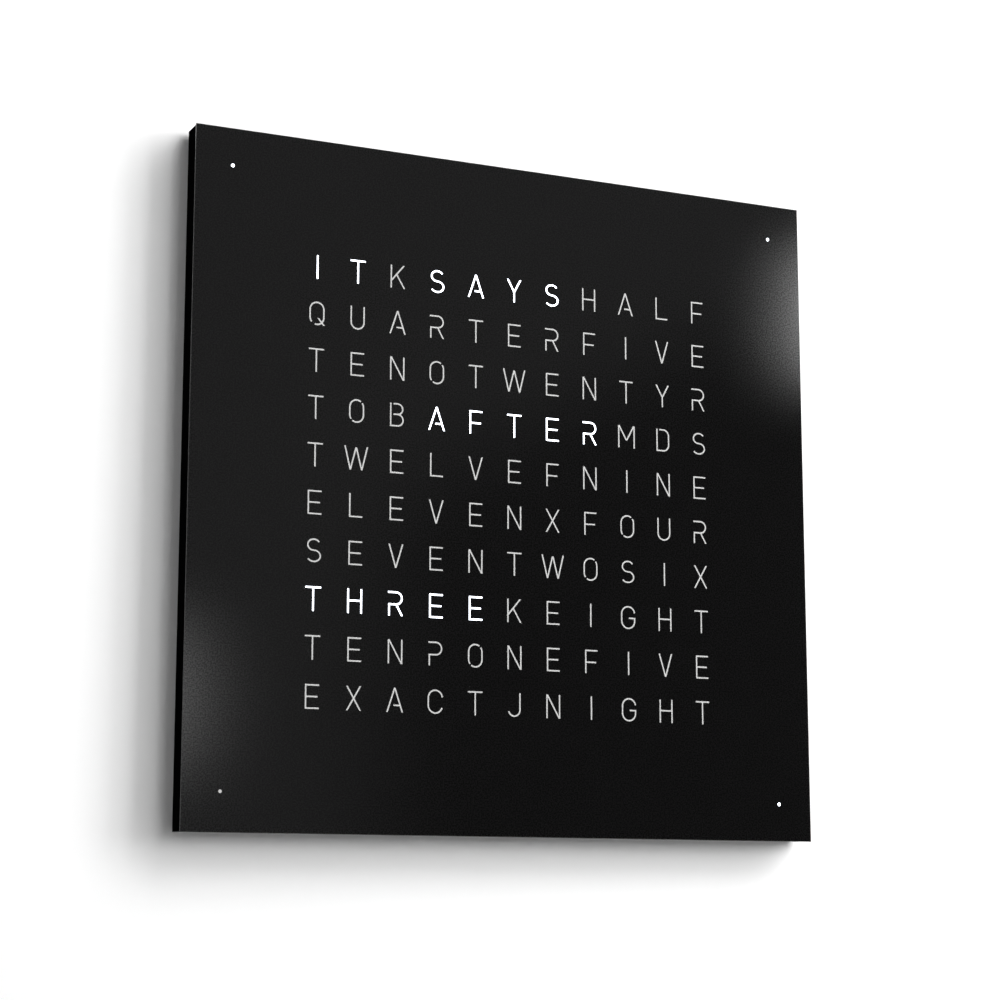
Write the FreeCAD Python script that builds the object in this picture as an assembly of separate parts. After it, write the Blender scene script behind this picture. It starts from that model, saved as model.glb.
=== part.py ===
"""Square wall clock that tells the time by lighting words in a matrix of cut-out letters.

A painted steel cover is held by magnets on a moulded frame. Behind it lie an opal diffuser,
a light grid with one tapered well per letter, the lamp board, the controller and the back panel.

Own frame, in millimetres: the origin lies on the wall behind the centre of the face,
+X to the right of someone who reads the clock, +Y into the wall, +Z up.
"front" and "back" are places along Y, and a front is the more negative one.
"""
import FreeCAD, Part
import os

os.makedirs("parts", exist_ok=True)

# --- Cover and letter matrix ---
face_size = 450.0
cover_thickness = 1.0
columns = 11
rows = 10
column_pitch = 28.2
row_pitch = 31.0
stem_height = 15.9          # upright slot that stands for the stem of each letter
stem_width = 1.8
minute_dot_inset = 25.0     # from the cover's edges to the middle of a minute dot
minute_dot_radius = 1.6
stud_radius = 1.5
stud_length = 5.0
stud_inset = 9.0            # from the cover's edges to a locating stud

# --- Frame: one moulded profile that runs round the square ---
frame_depth = 16.9
frame_setback = 0.5         # the frame's sides stand inside the cover's edge
frame_edge_chamfer = 0.4
wall_thickness = 3.0
front_flange_width = 15.0
front_flange_thickness = 2.5
diffuser_ledge_width = 3.0
back_ledge_width = 8.0
back_ledge_thickness = 1.5
seam_gap = 0.1              # between the cover and the frame
socket_wall = 2.0
socket_depth = 6.0
magnet_length = 15.0
magnet_width = 8.0
magnet_thickness = 2.0
magnet_inset = 6.0          # from the frame's outside to the middle of a magnet
magnet_offset = 90.0        # along each side, from its middle
magnet_clearance = 0.05

# --- Back panel, its screws and bumpers ---
panel_thickness = 2.0
panel_clearance = 0.3
panel_screw_inset = 8.0
panel_screw_offset = 160.0
panel_screw_radius = 1.5
panel_screw_length = 10.0
panel_screw_head_radius = 2.8
panel_screw_head_height = 1.2
panel_boss_width = 8.0
panel_boss_height = 12.0
thread_clearance = 0.05
screw_clearance = 0.2
pilot_floor = 1.0           # left past the end of a screw hole
bumper_size = 18.0
bumper_height = 2.0
bumper_inset = 30.0

# --- Posts and snap hooks of the back panel ---
post_width = 6.0
hook_width = 8.0
hook_thickness = 1.2
hook_gap = 0.2              # beside the edge that a hook grips
hook_play = 0.1             # over the face that a hook grips
barb_reach = 0.8
barb_height = 1.5

# --- Hangers ---
hanger_spacing = 200.0
hanger_drop = 37.0          # from the top of the cover to the middle of a hanger plate
hanger_width = 24.0
hanger_height = 44.0
hanger_thickness = 1.2
hanger_peg_spacing = 36.0
hanger_peg_width = 4.0
peg_height = 0.4            # a peg's flattened end stands out of the hanger plate
peg_clearance = 0.1
keyhole_entry_radius = 4.5
keyhole_slot_width = 4.8
keyhole_rise = 12.0
window_width = 16.0
window_height = 26.0
pocket_depth = 6.0          # behind the panel, for the head of the wall screw
pocket_wall = 1.2

# --- Diffuser, light grid and cups ---
diffuser_thickness = 0.5
diffuser_clearance = 0.4
grid_wall_front = 1.4       # wall between two wells at the diffuser
grid_wall_back = 8.0        # wall between two wells at the lamp board
grid_foot_width = 8.0
grid_foot_thickness = 1.6
grid_hook_offset = 150.0
cup_size = 15.0
cup_wall_front = 0.8
cup_wall_back = 3.0

# --- Lamp board and lamps ---
board_thickness = 1.6
post_height = 2.4           # from the back panel to the lamp board
tongue_width = 30.0
tongue_length = 18.0
tongue_x = -60.0
lamp_size = 5.0
lamp_height = 1.6
support_spacing_x = 94.0
support_spacing_z = 93.0
corner_board_size = 22.0
corner_post_shift = 7.0     # from the middle of a corner board to its posts
lead_width = 6.0
lead_thickness = 0.9
lead_reach = 30.0           # of a lead under the lamp board
lead_overlap = 6.0          # of a lead under the corner board
driver_length = 18.0
driver_width = 7.5
driver_height = 1.8
driver_offset = 60.0
sensor_width = 4.0
sensor_height = 2.0
sensor_thickness = 1.0
sensor_shift = 7.0          # from the lamp beside it

# --- Controller board and what it carries ---
controller_left = -35.0
controller_right_margin = 20.0  # past the last button
controller_top_gap = 1.8    # to the lamp board above it
controller_edge_gap = 10.0  # from the bottom wall of the frame
controller_post_inset = 8.0
controller_post_edge = 6.0  # from the board's top and bottom edges to the posts' middles
controller_hook_xs = [8.5, 75.0]
side_hook_raise = 4.5       # of the side hooks over the board's bottom edge
switch_size = 6.0
switch_height = 3.2
switch_to_cap = 0.5         # from the switch to the cap's flange
plunger_width = 2.8
plunger_sink = 0.6          # part of the plunger inside the switch
running_clearance = 0.1
button_travel = 0.5
button_stop = 0.1           # left under the plunger when the cap is pressed home
button_radius = 4.0
button_flange_width = 10.4
button_flange_thickness = 1.0
button_flange_gap = 0.1
button_height = 0.8         # the cap stands out of the panel
button_pitch = 15.0
button_first_x = 85.0
button_raise = 30.0         # from the bottom wall of the frame to the row of buttons
button_names = ["hour_button", "minute_button", "brightness_button", "colour_button"]
processor_size = 12.0
processor_height = 1.4
processor_x = -5.0
crystal_length = 11.4
crystal_width = 4.8
crystal_height = 3.6
crystal_gap = 4.0
cell_radius = 10.0
cell_thickness = 3.2
cell_x = 28.0
cell_clearance = 0.2
holder_wall = 1.8
holder_floor = 0.8
capacitor_radius = 4.0
capacitor_height = 6.5
capacitor_base = 8.4
capacitor_base_height = 0.8
capacitor_x = 52.0
connector_length = 14.0
connector_depth = 5.0
connector_height = 2.0
ribbon_width = 11.0
ribbon_thickness = 0.3
ribbon_flat = 3.0

# --- Low-voltage inlet in the bottom edge ---
jack_x = 66.0
jack_width = 9.0
jack_height = 9.5
jack_length = 14.0
jack_bore_radius = 3.1
jack_bore_depth = 9.5
jack_pin_radius = 1.0
jack_pin_recess = 0.8
jack_notch_gap = 0.3
inlet_radius = 5.0

# --- Places along the depth, worked out from the sizes above ---
frame_back = -bumper_height
frame_front = frame_back - frame_depth
cover_back = frame_front - seam_gap
cover_front = cover_back - cover_thickness
grid_front = frame_front + diffuser_thickness
flange_back = frame_front + front_flange_thickness
panel_front = frame_back - panel_thickness
lamp_board_back = panel_front - post_height
lamp_board_front = lamp_board_back - board_thickness
button_flange_back = panel_front - button_flange_gap
button_flange_front = button_flange_back - button_flange_thickness
switch_back = button_flange_front - switch_to_cap
controller_back = switch_back - switch_height
controller_front = controller_back - board_thickness
controller_middle = (controller_back + controller_front) / 2
foot_front = lamp_board_front - grid_foot_thickness

# --- Half sizes and places across the face ---
frame_half = face_size / 2 - frame_setback
frame_inner_half = frame_half - wall_thickness
diffuser_pocket_half = frame_half - front_flange_width + diffuser_ledge_width
panel_half = frame_inner_half - panel_clearance
minute_dot_place = face_size / 2 - minute_dot_inset
stud_place = face_size / 2 - stud_inset
magnet_place = frame_half - magnet_inset
panel_screw_place = frame_half - panel_screw_inset
bumper_place = frame_half - bumper_inset
lattice_width = columns * column_pitch + grid_wall_front
lattice_height = rows * row_pitch + grid_wall_front
foot_width = lattice_width + 2 * grid_foot_width
foot_height = lattice_height + 2 * grid_foot_width
lamp_board_half_width = foot_width / 2
lamp_board_half_height = foot_height / 2
hanger_z = face_size / 2 - hanger_drop
frame_floor = -frame_inner_half
controller_bottom = frame_floor + controller_edge_gap
controller_top = -lamp_board_half_height - controller_top_gap
controller_height = controller_top - controller_bottom
controller_right = button_first_x + (len(button_names) - 1) * button_pitch + controller_right_margin
controller_width = controller_right - controller_left
controller_x = controller_left + controller_width / 2
controller_z = controller_bottom + controller_height / 2
button_z = frame_floor + button_raise


def block(width, height, front, back, x=0.0, z=0.0):
    """Slab centred on x and z between two depths."""
    corner = FreeCAD.Vector(x - width / 2, front, z - height / 2)
    return Part.makeBox(width, back - front, height, corner)


def rod(radius, front, back, x=0.0, z=0.0):
    """Round bar along the depth."""
    start = FreeCAD.Vector(x, front, z)
    return Part.makeCylinder(radius, back - front, start, FreeCAD.Vector(0, 1, 0))


def turned(outline, x=0.0, z=0.0):
    """Solid of revolution about a depth axis, from (radius, depth) points."""
    points = [FreeCAD.Vector(radius, depth, 0) for radius, depth in outline]
    face = Part.Face(Part.makePolygon(points + points[:1]))
    solid = face.revolve(FreeCAD.Vector(0, 0, 0), FreeCAD.Vector(0, 1, 0), 360)
    solid.translate(FreeCAD.Vector(x, 0, z))
    return solid


def tapered(front_width, front_height, back_width, back_height, front, back, x, z):
    """Block whose section goes from one rectangle at its front to another at its back."""
    return Part.makeWedge(x - front_width / 2, front, z - front_height / 2,
                          z - back_height / 2, x - back_width / 2,
                          x + front_width / 2, back, z + front_height / 2,
                          z + back_height / 2, x + back_width / 2)


def snap_hook(grip_front, x, z, turn):
    """Hook of the back panel beside an edge at x, z; turn is 0 for a right edge, 90 for a top one."""
    grip = grip_front - hook_play
    tip = grip - barb_height
    outline = [(hook_gap, panel_front), (hook_gap, grip), (-barb_reach, grip),
               (hook_gap, tip), (hook_gap + hook_thickness, tip), (hook_gap + hook_thickness, panel_front)]
    points = [FreeCAD.Vector(reach, depth, -hook_width / 2) for reach, depth in outline]
    hook = Part.Face(Part.makePolygon(points + points[:1])).extrude(FreeCAD.Vector(0, 0, hook_width))
    hook.rotate(FreeCAD.Vector(0, 0, 0), FreeCAD.Vector(0, -1, 0), turn)
    hook.translate(FreeCAD.Vector(x, 0, z))
    return hook


def cell_centres():
    """Middle of every letter of the matrix, row by row from the top."""
    left = -(columns - 1) / 2 * column_pitch
    top = (rows - 1) / 2 * row_pitch
    return [(left + column * column_pitch, top - row * row_pitch)
            for row in range(rows) for column in range(columns)]


def corners(place_x, place_z):
    """The four mirrored places about the middle of the face."""
    return [(side * place_x, rise * place_z) for side in (-1, 1) for rise in (-1, 1)]


def along_sides(place_x, place_z, offset_x, offset_z):
    """Two places on each of the four sides of a rectangle."""
    return corners(place_x, offset_z) + corners(offset_x, place_z)


def save(node, solids):
    """Write the solids of one node."""
    Part.makeCompound(solids).exportStep("parts/" + node + ".step")


stud_places = [(-stud_place, stud_place), (stud_place, -stud_place)]
magnet_places = along_sides(magnet_place, magnet_place, magnet_offset, magnet_offset)
panel_screw_places = corners(panel_screw_place, panel_screw_offset)
minute_places = corners(minute_dot_place, minute_dot_place)
corner_post_places = [(side * (minute_dot_place + end * corner_post_shift),
                       rise * (minute_dot_place - end * corner_post_shift))
                      for side in (-1, 1) for rise in (-1, 1) for end in (-1, 1)]
support_places = [(column * support_spacing_x, row * support_spacing_z)
                  for column in (-1, 0, 1) for row in (-1, 0, 1)]
hanger_places = [(side * hanger_spacing / 2, hanger_z) for side in (-1, 1)]
hanger_peg_places = [(x, z + rise * hanger_peg_spacing / 2) for x, z in hanger_places for rise in (-1, 1)]
button_places = [(button_first_x + index * button_pitch, button_z) for index in range(len(button_names))]
controller_post_xs = [controller_left + controller_post_inset, jack_x - jack_width / 2 - post_width,
                      controller_right - controller_post_inset]
controller_post_zs = [controller_bottom + controller_post_edge, controller_top - controller_post_edge]
controller_post_places = [(x, z) for x in controller_post_xs for z in controller_post_zs]


def front_cover():
    """Flat steel sheet with a stem slot per letter and a round hole per minute dot."""
    sheet = block(face_size, face_size, cover_front, cover_back)
    cuts = [block(stem_width, stem_height, cover_front, cover_back, x, z) for x, z in cell_centres()]
    cuts += [rod(minute_dot_radius, cover_front, cover_back, x, z) for x, z in minute_places]
    return sheet.cut(Part.makeCompound(cuts))


def cover_stud(x, z):
    """Locating stud welded to the back of the cover."""
    return rod(stud_radius, cover_back, cover_back + stud_length, x, z)


def frame_profile():
    """Section of the frame: wall, front flange with the diffuser's ledge, ledge for the panel."""
    outer = frame_half
    wall = frame_inner_half
    ledge = frame_half - front_flange_width
    back_ledge = wall - back_ledge_width
    chamfer = frame_edge_chamfer
    outline = [
        (outer - chamfer, frame_front), (diffuser_pocket_half, frame_front),
        (diffuser_pocket_half, grid_front), (ledge, grid_front),
        (ledge, flange_back), (wall, flange_back),
        (wall, panel_front - back_ledge_thickness), (back_ledge, panel_front - back_ledge_thickness),
        (back_ledge, panel_front), (wall, panel_front),
        (wall, frame_back), (outer - chamfer, frame_back),
        (outer, frame_back - chamfer), (outer, frame_front + chamfer)]
    points = [FreeCAD.Vector(x, depth, 0) for x, depth in outline]
    return Part.makePolygon(points + points[:1])


def panel_boss(x, z):
    """Screw boss that joins the back ledge to the frame's wall."""
    inner = panel_screw_place - panel_boss_width / 2
    width = frame_inner_half - inner
    middle = (inner + width / 2) * (1 if x > 0 else -1)
    return block(width, panel_boss_width, panel_front - panel_boss_height, panel_front, middle, z)


def magnet_block(grow, x, z):
    """Magnet, or its pocket when grown; it lies along the nearest side of the frame."""
    on_side = abs(x) > abs(z)
    width = (magnet_width if on_side else magnet_length) + 2 * grow
    height = (magnet_length if on_side else magnet_width) + 2 * grow
    return block(width, height, frame_front, frame_front + magnet_thickness, x, z)


def housing_frame():
    """Moulded frame with stud sockets, magnet pockets, screw bosses and the inlet."""
    half = frame_half
    way = [(half, 0), (half, half), (-half, half), (-half, -half), (half, -half), (half, 0)]
    path = Part.makePolygon([FreeCAD.Vector(x, 0, z) for x, z in way])
    sweep = Part.BRepOffsetAPI.MakePipeShell(path)
    sweep.setTransitionMode(1)
    sweep.add(frame_profile())
    sweep.build()
    sweep.makeSolid()
    rim = Part.Solid(sweep.shape())
    socket_radius = stud_radius + running_clearance
    socket_end = frame_front + socket_depth
    socket_size = 2 * (socket_radius + socket_wall)
    sockets = [block(socket_size, socket_size, flange_back, socket_end, x, z) for x, z in stud_places]
    bosses = [panel_boss(x, z) for x, z in panel_screw_places]
    frame = rim.multiFuse(sockets + bosses)
    cuts = [rod(socket_radius, frame_front, socket_end, x, z) for x, z in stud_places]
    cuts += [magnet_block(magnet_clearance, x, z) for x, z in magnet_places]
    pilot_front = panel_front - panel_boss_height + pilot_floor
    pilot_radius = panel_screw_radius + thread_clearance
    cuts += [rod(pilot_radius, pilot_front, panel_front, x, z) for x, z in panel_screw_places]
    wall_outside = FreeCAD.Vector(jack_x, controller_middle, -frame_half)
    cuts.append(Part.makeCylinder(inlet_radius, wall_thickness, wall_outside, FreeCAD.Vector(0, 0, 1)))
    notch_width = jack_width + 2 * jack_notch_gap
    notch_front = panel_front - back_ledge_thickness
    notch_z = frame_floor + back_ledge_width / 2
    cuts.append(block(notch_width, back_ledge_width, notch_front, panel_front, jack_x, notch_z))
    return frame.cut(Part.makeCompound(cuts)).removeSplitter()


def back_panel():
    """Back panel with posts and snap hooks for the boards, hanger pockets and button holes."""
    plate = block(2 * panel_half, 2 * panel_half, panel_front, frame_back)
    raised = [block(post_width, post_width, lamp_board_back, panel_front, x, z)
              for x, z in support_places + corner_post_places]
    raised += [block(post_width, post_width, controller_back, panel_front, x, z)
               for x, z in controller_post_places]
    raised += panel_hooks()
    pocket_front = panel_front - pocket_depth
    raised += [block(window_width + 2 * pocket_wall, window_height + 2 * pocket_wall,
                     pocket_front - pocket_wall, panel_front, x, z) for x, z in hanger_places]
    peg_end = frame_back + hanger_thickness + peg_height
    raised += [block(hanger_peg_width, hanger_peg_width, frame_back, peg_end, x, z)
               for x, z in hanger_peg_places]
    cuts = [block(window_width, window_height, pocket_front, frame_back, x, z) for x, z in hanger_places]
    hole_radius = button_radius + running_clearance
    cuts += [rod(hole_radius, panel_front, frame_back, x, z) for x, z in button_places]
    screw_hole_radius = panel_screw_radius + screw_clearance
    cuts += [rod(screw_hole_radius, panel_front, frame_back, x, z) for x, z in panel_screw_places]
    return plate.multiFuse(raised).cut(Part.makeCompound(cuts)).removeSplitter()


def panel_hooks():
    """Snap hooks round the light grid's foot, the feet of the cups and the controller board."""
    half_width = foot_width / 2
    half_height = foot_height / 2
    half_corner = corner_board_size / 2
    side_hook_z = controller_bottom + side_hook_raise
    hooks = []
    for shift in (-grid_hook_offset, grid_hook_offset):
        hooks.append(snap_hook(foot_front, half_width, shift, 0))
        hooks.append(snap_hook(foot_front, shift, half_height, 90))
        hooks.append(snap_hook(foot_front, -half_width, shift, 180))
        hooks.append(snap_hook(foot_front, shift, -half_height, 270))
    for x, z in minute_places:
        hooks.append(snap_hook(foot_front, x, z + half_corner, 90))
        hooks.append(snap_hook(foot_front, x, z - half_corner, 270))
    hooks.append(snap_hook(controller_front, controller_left, side_hook_z, 180))
    hooks.append(snap_hook(controller_front, controller_right, side_hook_z, 0))
    for x in controller_hook_xs:
        hooks.append(snap_hook(controller_front, x, controller_top, 90))
        hooks.append(snap_hook(controller_front, x, controller_bottom, 270))
    return hooks


def hanger_plate(x, z):
    """Steel plate with a keyhole: the wall screw's head enters below and hangs in the slot above."""
    outside = frame_back + hanger_thickness
    entry_z = z - keyhole_rise / 2
    seat_z = z + keyhole_rise / 2
    plate = block(hanger_width, hanger_height, frame_back, outside, x, z)
    cuts = [rod(keyhole_entry_radius, frame_back, outside, x, entry_z)]
    cuts.append(rod(keyhole_slot_width / 2, frame_back, outside, x, seat_z))
    cuts.append(block(keyhole_slot_width, keyhole_rise, frame_back, outside, x, z))
    peg_hole = hanger_peg_width + 2 * peg_clearance
    cuts += [block(peg_hole, peg_hole, frame_back, outside, x, z + rise * hanger_peg_spacing / 2)
             for rise in (-1, 1)]
    return plate.cut(Part.makeCompound(cuts))


def panel_screw(x, z):
    """Pan-head screw through the back panel into the frame."""
    top = frame_back + panel_screw_head_height
    tip = frame_back - panel_screw_length
    outline = [(0, top), (panel_screw_head_radius, top), (panel_screw_head_radius, frame_back),
               (panel_screw_radius, frame_back), (panel_screw_radius, tip), (0, tip)]
    return turned(outline, x, z)


def wall_bumper(x, z):
    """Rubber pad that keeps the clock off the wall."""
    return block(bumper_size, bumper_size, frame_back, frame_back + bumper_height, x, z)


def diffuser_sheet():
    """Opal sheet that lies in the pocket of the frame's front."""
    size = 2 * (diffuser_pocket_half - diffuser_clearance)
    return block(size, size, frame_front, grid_front)


def tapered_well(x, z):
    """Space over one lamp: narrow at the board, nearly as wide as the cell at the diffuser."""
    return tapered(column_pitch - grid_wall_front, row_pitch - grid_wall_front,
                   column_pitch - grid_wall_back, row_pitch - grid_wall_back,
                   grid_front, lamp_board_front, x, z)


def light_grid():
    """Lattice of tapered wells, one for each letter, on a foot that the hooks hold."""
    lattice = block(lattice_width, lattice_height, grid_front, lamp_board_front)
    foot = block(foot_width, foot_height, foot_front, lamp_board_front)
    wells = Part.makeCompound([tapered_well(x, z) for x, z in cell_centres()])
    return lattice.fuse(foot).cut(wells).removeSplitter()


def minute_cup(x, z):
    """Tapered cup between a corner lamp and the diffuser, on a foot like the grid's."""
    cup = block(cup_size, cup_size, grid_front, lamp_board_front, x, z)
    foot = block(corner_board_size, corner_board_size, foot_front, lamp_board_front, x, z)
    front_size = cup_size - 2 * cup_wall_front
    back_size = cup_size - 2 * cup_wall_back
    well = tapered(front_size, front_size, back_size, back_size, grid_front, lamp_board_front, x, z)
    return cup.fuse(foot).cut(well).removeSplitter()


def lamp_board():
    """Board behind the light grid, with a tongue for the ribbon's connector."""
    board = block(2 * lamp_board_half_width, 2 * lamp_board_half_height, lamp_board_front, lamp_board_back)
    tongue_z = -lamp_board_half_height - tongue_length / 2
    tongue = block(tongue_width, tongue_length, lamp_board_front, lamp_board_back, tongue_x, tongue_z)
    return board.fuse(tongue).removeSplitter()


def lamp(x, z):
    """Square lamp package."""
    return block(lamp_size, lamp_size, lamp_board_front - lamp_height, lamp_board_front, x, z)


def corner_board(x, z):
    """Small board under one minute dot."""
    return block(corner_board_size, corner_board_size, lamp_board_front, lamp_board_back, x, z)


def corner_lead(side, rise):
    """Flat lead from the lamp board's corner to a corner board, against the back of both."""
    start_x = lamp_board_half_width - lead_reach
    start_z = lamp_board_half_height - lead_reach
    end = minute_dot_place - corner_board_size / 2 + lead_overlap
    start = FreeCAD.Vector(side * start_x, 0, rise * start_z)
    finish = FreeCAD.Vector(side * end, 0, rise * end)
    along = finish - start
    across = FreeCAD.Vector(-along.z, 0, along.x).normalize() * (lead_width / 2)
    depth = FreeCAD.Vector(0, lamp_board_back, 0)
    corners_of_lead = [start - across, finish - across, finish + across, start + across]
    points = [corner + depth for corner in corners_of_lead]
    face = Part.Face(Part.makePolygon(points + points[:1]))
    return face.extrude(FreeCAD.Vector(0, lead_thickness, 0))


def driver_chip(x, z):
    """Lamp driver on the back of the lamp board."""
    return block(driver_length, driver_width, lamp_board_back, lamp_board_back + driver_height, x, z)


def light_sensor():
    """Sensor beside one lamp near the middle, which dims the clock in a dark room."""
    sensor_front = lamp_board_front - sensor_thickness
    middle_z = row_pitch / 2
    return block(sensor_width, sensor_height, sensor_front, lamp_board_front, sensor_shift, middle_z)


def controller_board():
    """Board in the bottom of the frame, notched for the inlet."""
    board = block(controller_width, controller_height, controller_front, controller_back,
                  controller_x, controller_z)
    notch_top = frame_floor + jack_length + jack_notch_gap
    notch_height = notch_top - controller_bottom
    notch = block(jack_width + 2 * jack_notch_gap, notch_height, controller_front, controller_back,
                  jack_x, controller_bottom + notch_height / 2)
    return board.cut(notch)


def button_cap(x, z):
    """Round push button kept in by its square flange."""
    cap = rod(button_radius, button_flange_back, frame_back + button_height, x, z)
    flange = block(button_flange_width, button_flange_width, button_flange_front, button_flange_back, x, z)
    return cap.fuse(flange)


def plunger(x, z):
    """Square plunger of a switch, pushed by its cap."""
    return block(plunger_width, plunger_width, switch_back - plunger_sink, button_flange_front, x, z)


def tact_switch(x, z):
    """Switch body on the back of the controller board."""
    body = block(switch_size, switch_size, controller_back, switch_back, x, z)
    well_width = plunger_width + 2 * running_clearance
    well_depth = plunger_sink + button_travel + button_stop
    return body.cut(block(well_width, well_width, switch_back - well_depth, switch_back, x, z))


def processor():
    """Controller chip."""
    chip_front = controller_front - processor_height
    return block(processor_size, processor_size, chip_front, controller_front, processor_x, controller_z)


def quartz_crystal():
    """Timing crystal in a low can."""
    can_z = controller_z + processor_size / 2 + crystal_gap
    return block(crystal_length, crystal_width, controller_front - crystal_height, controller_front,
                 processor_x, can_z)


def cell_holder():
    """Open cup for the backup cell."""
    inner = cell_radius + cell_clearance
    size = 2 * (inner + holder_wall)
    cup_front = controller_front - holder_floor - cell_thickness
    cup = block(size, size, cup_front, controller_front, cell_x, controller_z)
    return cup.cut(rod(inner, cup_front, controller_front - holder_floor, cell_x, controller_z))


def backup_cell():
    """Coin cell that keeps the time when the supply is off."""
    cell_back = controller_front - holder_floor
    return rod(cell_radius, cell_back - cell_thickness, cell_back, cell_x, controller_z)


def buffer_capacitor():
    """Round capacitor on a square base."""
    base_front = controller_front - capacitor_base_height
    base = block(capacitor_base, capacitor_base, base_front, controller_front, capacitor_x, controller_z)
    can = rod(capacitor_radius, controller_front - capacitor_height, base_front, capacitor_x, controller_z)
    return base.fuse(can)


def ribbon_connectors():
    """Two low connectors that face each other across the gap between the boards."""
    lamp_side_x = tongue_x + tongue_width / 2 - connector_depth / 2
    board_side_x = controller_left + connector_depth / 2
    connector_z = -lamp_board_half_height - tongue_length / 2
    lamp_side = block(connector_depth, connector_length, lamp_board_front - connector_height,
                      lamp_board_front, lamp_side_x, connector_z)
    board_side = block(connector_depth, connector_length, controller_front - connector_height,
                       controller_front, board_side_x, connector_z)
    return [lamp_side, board_side]


def ribbon_cable():
    """Flat ribbon between the two connectors, with a short flat run at each end."""
    start_x = tongue_x + tongue_width / 2
    end_x = controller_left
    start_depth = lamp_board_front - connector_height / 2
    end_depth = controller_front - connector_height / 2
    line = [(start_x, start_depth), (start_x + ribbon_flat, start_depth),
            (end_x - ribbon_flat, end_depth), (end_x, end_depth)]
    bottom = -lamp_board_half_height - tongue_length / 2 - ribbon_width / 2
    shift = ribbon_thickness / 2
    front_side = [FreeCAD.Vector(x, depth - shift, bottom) for x, depth in line]
    back_side = [FreeCAD.Vector(x, depth + shift, bottom) for x, depth in reversed(line)]
    outline = front_side + back_side
    face = Part.Face(Part.makePolygon(outline + outline[:1]))
    return face.extrude(FreeCAD.Vector(0, 0, ribbon_width))


def power_jack():
    """Inlet socket let into the controller board's notch, mouth against the frame's wall."""
    body = block(jack_width, jack_length, controller_middle - jack_height / 2,
                 controller_middle + jack_height / 2, jack_x, frame_floor + jack_length / 2)
    mouth = FreeCAD.Vector(jack_x, controller_middle, frame_floor)
    bore = Part.makeCylinder(jack_bore_radius, jack_bore_depth, mouth, FreeCAD.Vector(0, 0, 1))
    return body.cut(bore)


def jack_pin():
    """Centre contact of the inlet."""
    start = FreeCAD.Vector(jack_x, controller_middle, frame_floor + jack_pin_recess)
    length = jack_bore_depth - jack_pin_recess
    return Part.makeCylinder(jack_pin_radius, length, start, FreeCAD.Vector(0, 0, 1))


save("front_cover", [front_cover()])
save("cover_studs", [cover_stud(x, z) for x, z in stud_places])
save("housing_frame", [housing_frame()])
save("cover_magnets", [magnet_block(0, x, z) for x, z in magnet_places])
save("back_panel", [back_panel()])
save("panel_screws", [panel_screw(x, z) for x, z in panel_screw_places])
save("wall_bumpers", [wall_bumper(x, z) for x, z in corners(bumper_place, bumper_place)])
save("hanger_plates", [hanger_plate(x, z) for x, z in hanger_places])
save("diffuser_sheet", [diffuser_sheet()])
save("light_grid", [light_grid()])
save("minute_cups", [minute_cup(x, z) for x, z in minute_places])
save("lamp_board", [lamp_board()])
save("word_lamps", [lamp(x, z) for x, z in cell_centres()])
save("minute_lamps", [lamp(x, z) for x, z in minute_places])
save("corner_boards", [corner_board(x, z) for x, z in minute_places])
save("corner_leads", [corner_lead(side, rise) for side in (-1, 1) for rise in (-1, 1)])
save("driver_chips", [driver_chip(x, z) for x, z in corners(driver_offset, driver_offset)])
save("light_sensor", [light_sensor()])
save("controller_board", [controller_board()])
save("tact_switches", [tact_switch(x, z) for x, z in button_places])
for button_name, (button_x, button_middle_z) in zip(button_names, button_places):
    save(button_name, [button_cap(button_x, button_middle_z)])
    save(button_name.replace("button", "plunger"), [plunger(button_x, button_middle_z)])
save("processor", [processor()])
save("quartz_crystal", [quartz_crystal()])
save("cell_holder", [cell_holder()])
save("backup_cell", [backup_cell()])
save("buffer_capacitor", [buffer_capacitor()])
save("ribbon_connectors", ribbon_connectors())
save("ribbon_cable", [ribbon_cable()])
save("power_jack", [power_jack()])
save("jack_pin", [jack_pin()])
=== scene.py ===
"""Looks of the word clock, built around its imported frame.

Metres, in the frame of the CAD model: the origin lies on the wall behind the centre of the face,
+X to the right of someone who reads the clock, +Y into the wall, +Z up.
Outlines of letters and small shapes are given in millimetres and scaled when they become meshes.
"""

import math

import bmesh
import bpy
from mathutils import Matrix, Vector
from mathutils.geometry import delaunay_2d_cdt


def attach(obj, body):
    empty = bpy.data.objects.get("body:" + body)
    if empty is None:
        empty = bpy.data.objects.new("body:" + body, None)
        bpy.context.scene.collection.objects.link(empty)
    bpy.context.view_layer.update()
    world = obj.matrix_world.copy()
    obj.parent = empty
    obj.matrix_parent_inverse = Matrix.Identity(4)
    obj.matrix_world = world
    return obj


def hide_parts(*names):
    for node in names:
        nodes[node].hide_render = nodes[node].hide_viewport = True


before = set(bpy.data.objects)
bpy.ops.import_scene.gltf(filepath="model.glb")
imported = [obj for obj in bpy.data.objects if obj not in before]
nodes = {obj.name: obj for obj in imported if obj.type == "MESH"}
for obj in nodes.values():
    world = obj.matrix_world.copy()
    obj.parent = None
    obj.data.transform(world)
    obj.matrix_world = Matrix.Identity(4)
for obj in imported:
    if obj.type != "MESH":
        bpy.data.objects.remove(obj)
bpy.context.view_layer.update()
scene = bpy.context.scene
MM = 0.001


# --- Camera at the photograph's place ---

CAMERA_PLACE = Vector((-0.661147, -1.418306, -0.277551))
CAMERA_YAW = math.radians(-24.952)
CAMERA_PITCH = math.radians(10.045)
SENSOR_WIDTH = 36.0
FOCAL_LENGTH = 85.27

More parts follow.
